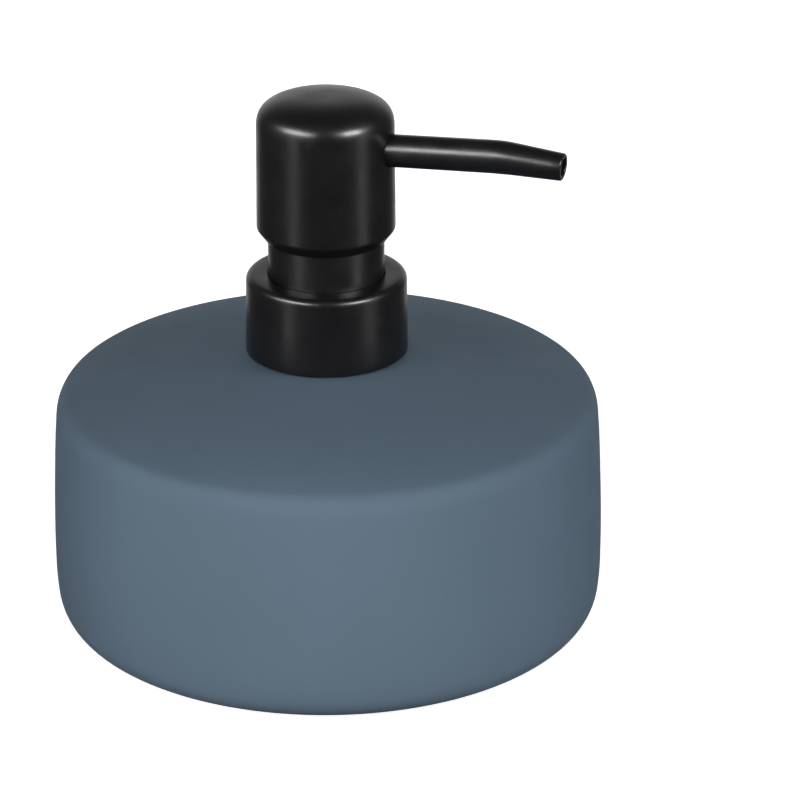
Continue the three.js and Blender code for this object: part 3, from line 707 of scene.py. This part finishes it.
def check_ball(node, body, seat_r, seat_z):
    """A bearing ball at rest on its conical seat."""
    centre_z = seat_z + BALL_R / math.sin(math.atan(BALL_SEAT_SLOPE)) - seat_r / BALL_SEAT_SLOPE + BALL_GAP
    angles = [i * math.pi / 24 for i in range(1, 24)]
    half_circle = [(BALL_R * math.sin(a), centre_z - BALL_R * math.cos(a)) for a in angles]
    outline = [(0, centre_z - BALL_R), *half_circle, (0, centre_z + BALL_R)]
    fit_piece(turned(node, outline, steel.material, 48), body, node)


check_ball("inlet_ball", "inlet_ball", INLET_SEAT_R, INLET_SEAT_Z)


# ---------------------------------------------------------------------------
# Chaplet and wiper: a black moulding snapped into the cylinder's mouth, which guides the stem,
# and the soft ring in its foot that wipes the stem clean.
# ---------------------------------------------------------------------------
CHAPLET_R = CYLINDER_BORE - 0.1
CHAPLET_CAP_R = 9.5
CHAPLET_GUIDE_R = 5.2
CHAPLET_BORES = (5.15, 3.65)
CHAPLET_Z = (68, 71, 74.1, 75.2, 79.6)
WIPER_Z = (68.6, 70.6)

foot, step, cap_foot, cap_top, crown = CHAPLET_Z
wide_bore, guide_bore = CHAPLET_BORES
chaplet_mesh = turned("chaplet", [
    (wide_bore, foot), (CHAPLET_R, foot, 0.2), (CHAPLET_R, cap_foot), (CHAPLET_CAP_R, cap_foot, 0.15),
    (CHAPLET_CAP_R, cap_top, 0.15), (CHAPLET_GUIDE_R, cap_top, 0.3), (CHAPLET_GUIDE_R, crown, 0.4),
    (guide_bore, crown, 0.15), (guide_bore, step), (wide_bore, step),
], inner_black.material, 64)
fit_piece(chaplet_mesh, "pump", "chaplet")

wiper_r = wide_bore - 0.1
wiper_mesh = turned("stem_wiper", [
    (3.9, WIPER_Z[0]), (wiper_r, WIPER_Z[0]), (wiper_r, WIPER_Z[1]), (3.7, WIPER_Z[1], 0.08),
], silicone.material, 64)
fit_piece(wiper_mesh, "pump", "stem_wiper")


# ---------------------------------------------------------------------------
# Closure: a screw cap with a collar pressed over it, both black, moulded plastic.
# A plain sleeve is trapped between them and stands up inside the head.
# ---------------------------------------------------------------------------
SATIN_BLACK = (0.0045, 0.0042, 0.0050)
CAP_R = 15.55
CAP_Z = (61.3, 75.25)
CAP_BORE = THREAD_CREST_R + 0.35
CAP_HOLE_R = 9.8
CAP_CEILING_Z = 74.1
COLLAR_R = 17
COLLAR_FOOT_R = 17.2
COLLAR_BORE = 15.8
COLLAR_Z = (60.1, 77.1)
SLEEVE_R = 12.25
SLEEVE_BORE = 11.2
SLEEVE_FLANGE_Z = (75.3, 76.05)
SLEEVE_TOP_Z = 92.5

satin_black = Finish("satin_black_moulding", SATIN_BLACK, 0.34, Specular_IOR_Level=0.4)
melt_flow = satin_black.ranged(satin_black.noise(55, 4, (1, 1, 0.35)), 0.3, 0.7)
satin_tint = satin_black.mixed(melt_flow, shade(SATIN_BLACK, 0.8), shade(SATIN_BLACK, 1.3))
handling = satin_black.ranged(satin_black.noise(420, 5), 0.6, 0.8)
satin_tint = satin_black.mixed(handling, satin_tint, shade(SATIN_BLACK, 2.2))
satin_black.drive("Base Color", satin_tint)
satin_black.drive("Roughness", satin_black.ranged(satin_black.noise(190, 4), 0.3, 0.7, 0.27, 0.36))
mould_skin = satin_black.relief(satin_black.noise(110, 2), 0.012)
satin_black.relief(satin_black.noise(4200, 2), 0.004, mould_skin)

cap_body = turned("threaded_cap", [
    (CAP_BORE, CAP_Z[0], 0.2), (CAP_R, CAP_Z[0], 0.2), (CAP_R, CAP_Z[1], 0.4), (CAP_HOLE_R, CAP_Z[1], 0.2),
    (CAP_HOLE_R, CAP_CEILING_Z), (CAP_BORE, CAP_CEILING_Z),
], inner_black.material)
female_depth = CAP_BORE - THREAD_ROOT_R - 0.1
female_start = 0.3625
female_thread = coiled(
    "female_thread", [(0, -root), (0, root), (-female_depth, crest, 0.2), (-female_depth, -crest, 0.2)],
    inner_black.material, CAP_BORE + THREAD_SUNK, THREAD_MIDDLE_Z + (female_start - 0.5) * THREAD_PITCH,
    THREAD_PITCH, 1.25, female_start)
fit_piece(joined(cap_body, female_thread), "closure", "threaded_cap")

collar_wall = [(COLLAR_FOOT_R + (COLLAR_R - COLLAR_FOOT_R) * i / 10, COLLAR_Z[0] + 0.3 + 15 * i / 10)
               for i in range(1, 11)]
collar_mesh = turned("collar_shell", [
    (COLLAR_BORE, COLLAR_Z[0], 0.2), (COLLAR_FOOT_R, COLLAR_Z[0], 0.25), *collar_wall,
    (COLLAR_R, COLLAR_Z[1], 1.45), (SLEEVE_R + 0.1, COLLAR_Z[1], 0.25), (SLEEVE_R + 0.1, COLLAR_Z[1] - 1),
    (COLLAR_BORE, COLLAR_Z[1] - 1),
], satin_black.material, 192)
fit_piece(collar_mesh, "closure", "collar_shell")

sleeve_mesh = turned("guide_sleeve", [
    (SLEEVE_BORE, SLEEVE_FLANGE_Z[0]), (CAP_R, SLEEVE_FLANGE_Z[0], 0.15), (CAP_R, SLEEVE_FLANGE_Z[1], 0.15),
    (SLEEVE_R, SLEEVE_FLANGE_Z[1], 0.1), (SLEEVE_R, SLEEVE_TOP_Z, 0.45), (SLEEVE_BORE, SLEEVE_TOP_Z, 0.2),
], satin_black.material, 192)
fit_piece(sleeve_mesh, "closure", "guide_sleeve")


# ---------------------------------------------------------------------------
# Piston: a soft polyethylene sleeve moulded in one piece, held on the stem's foot.
# A thin lip at each end springs out and wipes the cylinder's wall.
# ---------------------------------------------------------------------------
PISTON_PLASTIC = (0.62, 0.65, 0.65)
PISTON_BORE = 3.6
PISTON_WAIST_R = 5.6
LIP_R = CYLINDER_BORE - 0.1
LIP_BACK_R = 5.7
SLEEVE_END_R = 4.8
GROOVE_R = 5
PISTON_Z = (60.25, 66.6)

piston_plastic = Finish(
    "waxy_polyethylene", PISTON_PLASTIC, 0.45, Subsurface_Weight=0.4, Subsurface_Scale=0.002)
wax = piston_plastic.ranged(piston_plastic.noise(150), 0.3, 0.7)
piston_plastic.drive("Base Color", piston_plastic.mixed(wax, shade(PISTON_PLASTIC, 0.93), PISTON_PLASTIC))
piston_plastic.drive("Roughness", piston_plastic.ranged(piston_plastic.noise(300), 0.3, 0.7, 0.38, 0.54))
piston_plastic.relief(piston_plastic.noise(1200, 2), 0.01)

low, high = PISTON_Z
piston_mesh = turned("piston", [
    (PISTON_BORE, low), (SLEEVE_END_R, low), (GROOVE_R, low + 1.4, 0.1), (LIP_BACK_R, low), (LIP_R, low),
    (LIP_R, low + 0.5, 0.15), (PISTON_WAIST_R, low + 1.8, 0.3), (PISTON_WAIST_R, high - 1.8, 0.3),
    (LIP_R, high - 0.5, 0.15), (LIP_R, high), (LIP_BACK_R, high), (GROOVE_R, high - 1.4, 0.1),
    (SLEEVE_END_R, high), (PISTON_BORE, high),
], piston_plastic.material, 64)
fit_piece(piston_mesh, "piston", "piston")


# ---------------------------------------------------------------------------
# Stem: a hollow tube of the same natural plastic as the cylinder, with the outlet ball's seat
# in its top. A bored core pressed into its foot holds the piston against the stem's ring.
# ---------------------------------------------------------------------------
CORE_R = (3.6, 5.9)
CORE_BORE = 1.4
CORE_Z = (56, 58.4, 60.2, 64)
SPIGOT_R = 2.55
STEM_R = 3.5
STEM_BORE = 1.5
STEM_Z = (60.25, 98.4)
STEM_RING_R = 4.6
STEM_RING_Z = (66.65, 67.7)
CHAMBER_BORE = 2.55
OUTLET_SEAT_Z = 92.4

core_nose_r, core_flange_r = CORE_R
core_mesh = turned("piston_core", [
    (CORE_BORE, CORE_Z[0]), (core_nose_r, CORE_Z[0], 0.4), (core_nose_r, CORE_Z[1]),
    (core_flange_r, CORE_Z[1], 0.15), (core_flange_r, CORE_Z[2], 0.15), (SPIGOT_R, CORE_Z[2], 0.1),
    (SPIGOT_R, CORE_Z[3]), (CORE_BORE, CORE_Z[3]),
], natural.material, 64)
fit_piece(core_mesh, "head", "piston_core")
stem_mesh = turned("stem", [
    (SPIGOT_R + 0.1, STEM_Z[0]), (STEM_R, STEM_Z[0]), (STEM_R, STEM_RING_Z[0]),
    (STEM_RING_R, STEM_RING_Z[0], 0.15), (STEM_RING_R, STEM_RING_Z[1], 0.15), (STEM_R, STEM_RING_Z[1]),
    (STEM_R, STEM_Z[1], 0.35), (CHAMBER_BORE, STEM_Z[1]),
    (CHAMBER_BORE, OUTLET_SEAT_Z + (CHAMBER_BORE - STEM_BORE) / BALL_SEAT_SLOPE), (STEM_BORE, OUTLET_SEAT_Z),
    (STEM_BORE, CORE_Z[3] + 0.1), (SPIGOT_R + 0.1, CORE_Z[3] + 0.1),
], natural.material, 64)
fit_piece(stem_mesh, "head", "stem")
check_ball("outlet_ball", "outlet_ball", STEM_BORE, OUTLET_SEAT_Z)


# ---------------------------------------------------------------------------
# Head: the black channel piece pressed on the stem, and the domed button over it, a thin
# black shell with a bevel round its lower rim and a hole for the spout.
# ---------------------------------------------------------------------------
HEAD_R = 14.42
HEAD_FOOT_R = 14.6
HEAD_BORE = 12.65
HEAD_Z = (85.2, 109.4, 116.2)
BEVEL_TOP_Z = 87.6
DOME_POWER = 3
DOME_WALL = 2
SPOUT_R = (3.42, 3.47, 2.85)
SPOUT_CLEARANCE = 0.15
SPOUT_RISE = math.radians(3.1)
SPOUT_ROOT_Z = 105.8 - 13 * math.tan(SPOUT_RISE)

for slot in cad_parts["actuator_core"].material_slots:
    slot.material = inner_black.material


def dome_line(rim_r, height, steps):
    """Outline points of the flattened dome, from its rim up, without its point on the axis."""
    angles = [i * math.pi / 2 / steps for i in range(steps)]
    return [(rim_r * math.cos(a) ** (2 / DOME_POWER), HEAD_Z[1] + height * math.sin(a) ** (2 / DOME_POWER))
            for a in angles]


def along_spout(distance):
    """Lays a piece that stands on Z along the spout's first stretch."""
    start = (distance * math.cos(SPOUT_RISE), 0, SPOUT_ROOT_Z + distance * math.sin(SPOUT_RISE))
    start = tuple(part * MM for part in start)
    return Matrix.Translation(start) @ Matrix.Rotation(math.pi / 2 - SPOUT_RISE, 4, "Y")


skirt = [(HEAD_FOOT_R + (HEAD_R - HEAD_FOOT_R) * i / 16, BEVEL_TOP_Z + (HEAD_Z[1] - BEVEL_TOP_Z) * i / 16)
         for i in range(1, 16)]
crown_inside = HEAD_Z[2] - DOME_WALL
shell_mesh = turned("head_shell", [
    (HEAD_BORE, HEAD_Z[0]), (HEAD_BORE + 0.15, HEAD_Z[0], 0.06), (HEAD_FOOT_R, BEVEL_TOP_Z, 0.9), *skirt,
    *dome_line(HEAD_R, HEAD_Z[2] - HEAD_Z[1], 32), (0, HEAD_Z[2]),
    (0, crown_inside), *reversed(dome_line(HEAD_BORE, crown_inside - HEAD_Z[1], 12)),
    *[(HEAD_BORE, z) for z in range(107, 90, -4)], (HEAD_BORE, HEAD_Z[0]),
], satin_black.material, 192)
spout_hole = drill(SPOUT_R[0] + SPOUT_CLEARANCE, 12, along_spout(8))
fit_piece(cut(shell_mesh, spout_hole), "head", "head_shell")


# ---------------------------------------------------------------------------
# Spout: a slim tapering tube of the same black plastic, pressed into the channel piece.
# It rises a little to its bend, then drops to a rounded tip with the outlet bore in it.
# ---------------------------------------------------------------------------
SPOUT_START = 8.6
SPOUT_BEND = 38.5
SPOUT_REACH = 51.6
SPOUT_DROP = math.radians(3.2)
SPOUT_BORE = 1.9
BEND_LENGTH = 5


def spout_axis(distance):
    """Place and slope of the spout's axis at a distance along it, in millimetres."""
    bend_start = SPOUT_BEND - BEND_LENGTH / 2
    bent = min(max((distance - bend_start) / BEND_LENGTH, 0), 1)
    slope = SPOUT_RISE - (SPOUT_RISE + SPOUT_DROP) * bent
    bend_r = BEND_LENGTH / (SPOUT_RISE + SPOUT_DROP)
    before = min(distance, bend_start)
    beyond = max(distance - bend_start - BEND_LENGTH, 0)
    x = before * math.cos(SPOUT_RISE) + bend_r * (math.sin(SPOUT_RISE) - math.sin(slope))
    z = before * math.sin(SPOUT_RISE) + bend_r * (math.cos(slope) - math.cos(SPOUT_RISE))
    return x + beyond * math.cos(slope), SPOUT_ROOT_Z + z + beyond * math.sin(slope), slope


def spout_radius(distance):
    """The spout's outside radius at a distance along it, in millimetres."""
    root, bend, tip = SPOUT_R
    if distance < SPOUT_BEND:
        return root + (bend - root) * (distance - SPOUT_START) / (SPOUT_BEND - SPOUT_START)
    return bend + (tip - bend) * (distance - SPOUT_BEND) / (SPOUT_REACH - SPOUT_BEND)


stations = [SPOUT_START + 1.5 * i for i in range(1, 28)]
straight_tube = turned("spout", [
    (SPOUT_BORE, SPOUT_START), (SPOUT_R[0], SPOUT_START, 0.15), *[(spout_radius(s), s) for s in stations],
    (SPOUT_R[2], SPOUT_REACH, 0.35), (SPOUT_BORE, SPOUT_REACH, 0.2),
    *[(SPOUT_BORE, s) for s in reversed(stations)],
], satin_black.material, 64)
for vertex in straight_tube.vertices:
    across, side, distance = (part / MM for part in vertex.co)
    axis_x, axis_z, slope = spout_axis(distance)
    vertex.co = Vector((axis_x + across * math.sin(slope), side, axis_z - across * math.cos(slope))) * MM
fit_piece(smooth_shaded(straight_tube), "head", "spout")
